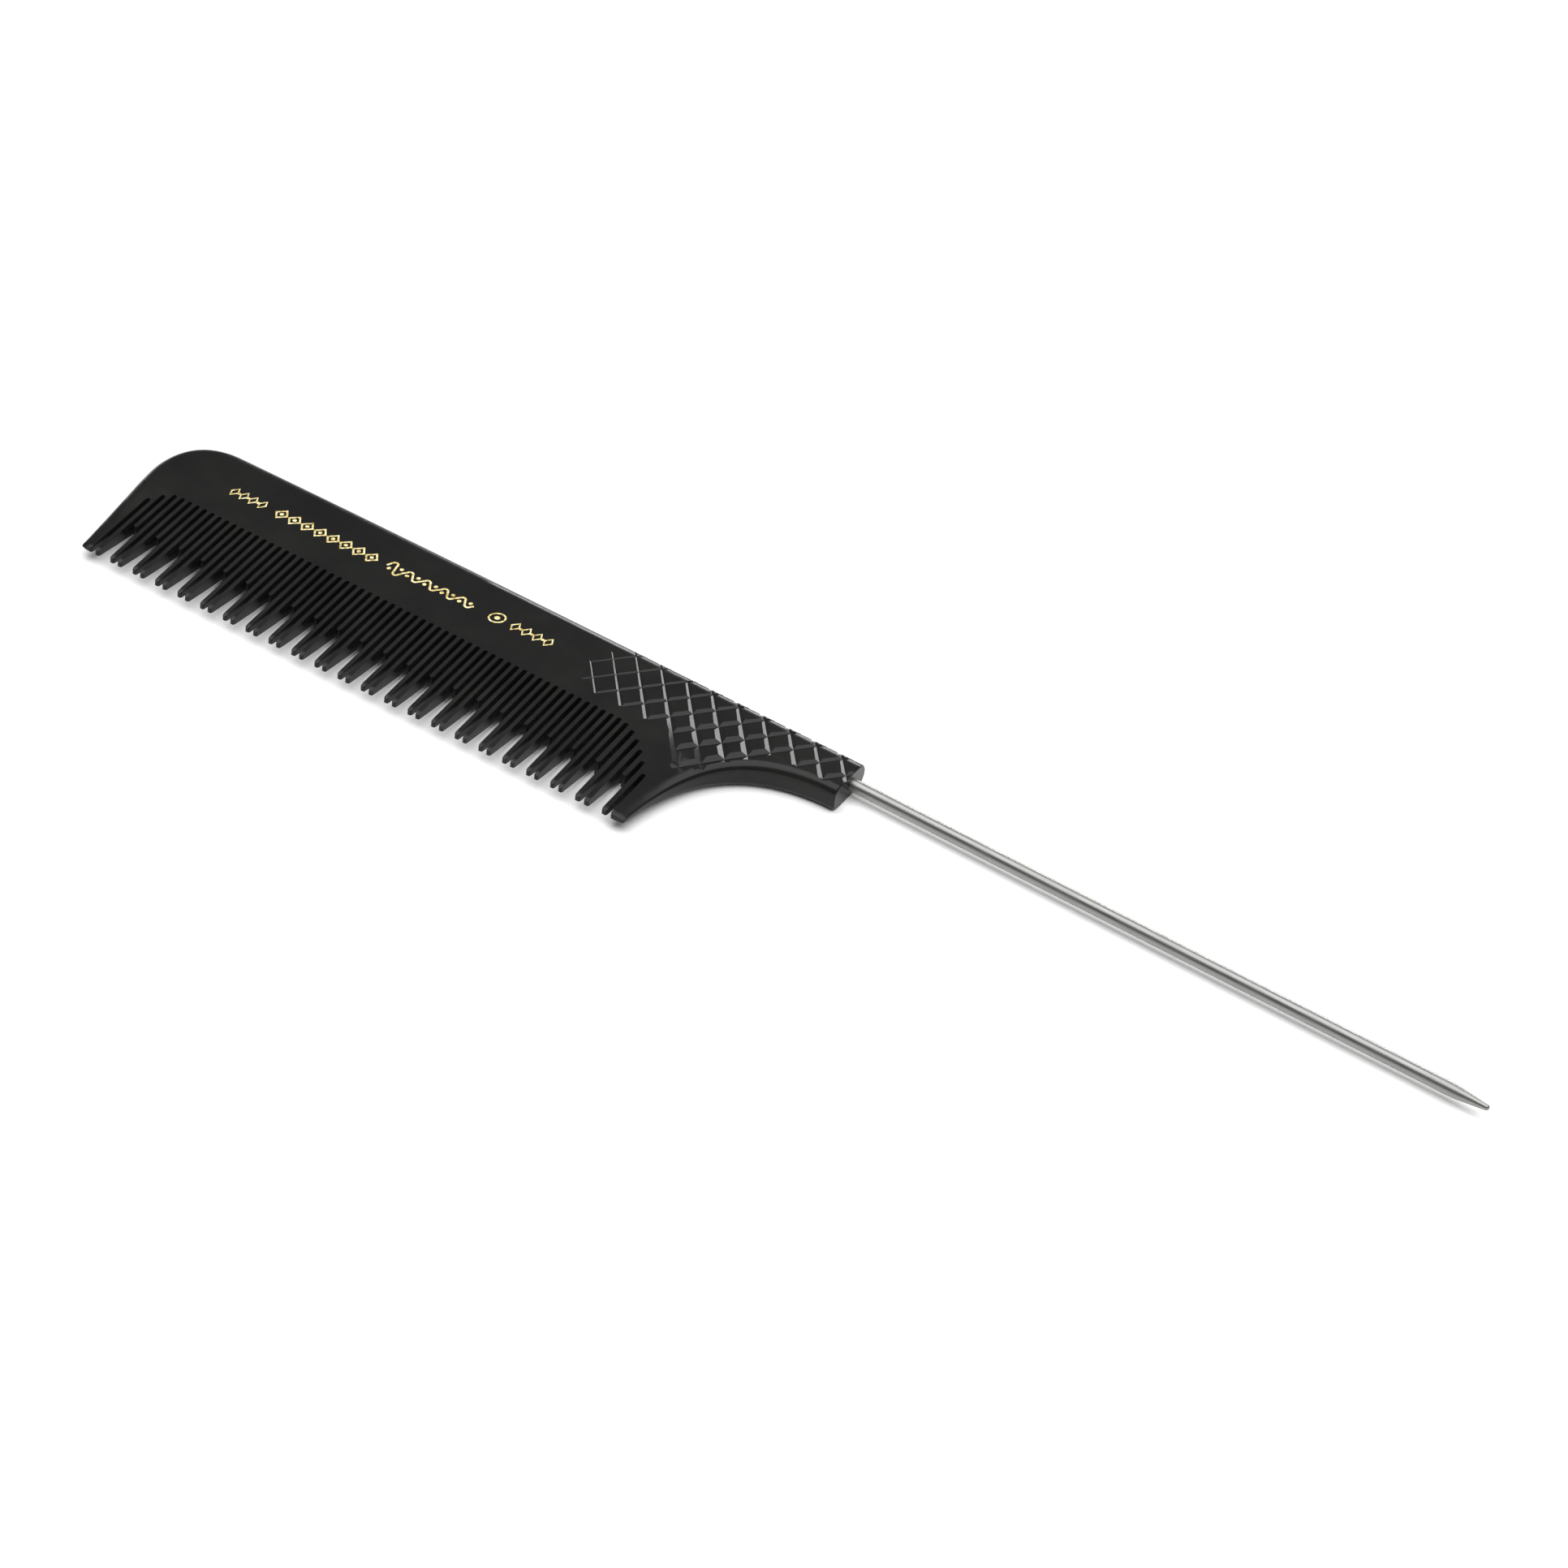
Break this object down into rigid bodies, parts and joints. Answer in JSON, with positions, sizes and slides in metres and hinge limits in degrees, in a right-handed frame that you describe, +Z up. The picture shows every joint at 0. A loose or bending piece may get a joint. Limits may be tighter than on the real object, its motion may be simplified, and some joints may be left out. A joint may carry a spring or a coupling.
{
  "type": "rat tail comb",
  "caption": "Salon comb with long and short sawn teeth, a knurled grip and a thin steel tail pin for parting and sectioning hair.",
  "frame": {"origin": "below the middle of the whole comb's outline, on the plane of its underside", "axes": "+X along the comb towards the point of the tail pin, +Y from the tooth tips towards the spine, +Z up out of the upper face"},
  "size_m": [0.216, 0.0308, 0.0043],
  "materials": {
    "hard_rubber": "satin, hand buffed hard rubber",
    "pin_steel": "drawn and lightly polished stainless steel",
    "gold_foil": "hot stamped gold foil, a little worn"
  },
  "bodies": {
    "root": {"comb_body": "hard_rubber", "tail_pin": "pin_steel"}
  },
  "joints": []
}
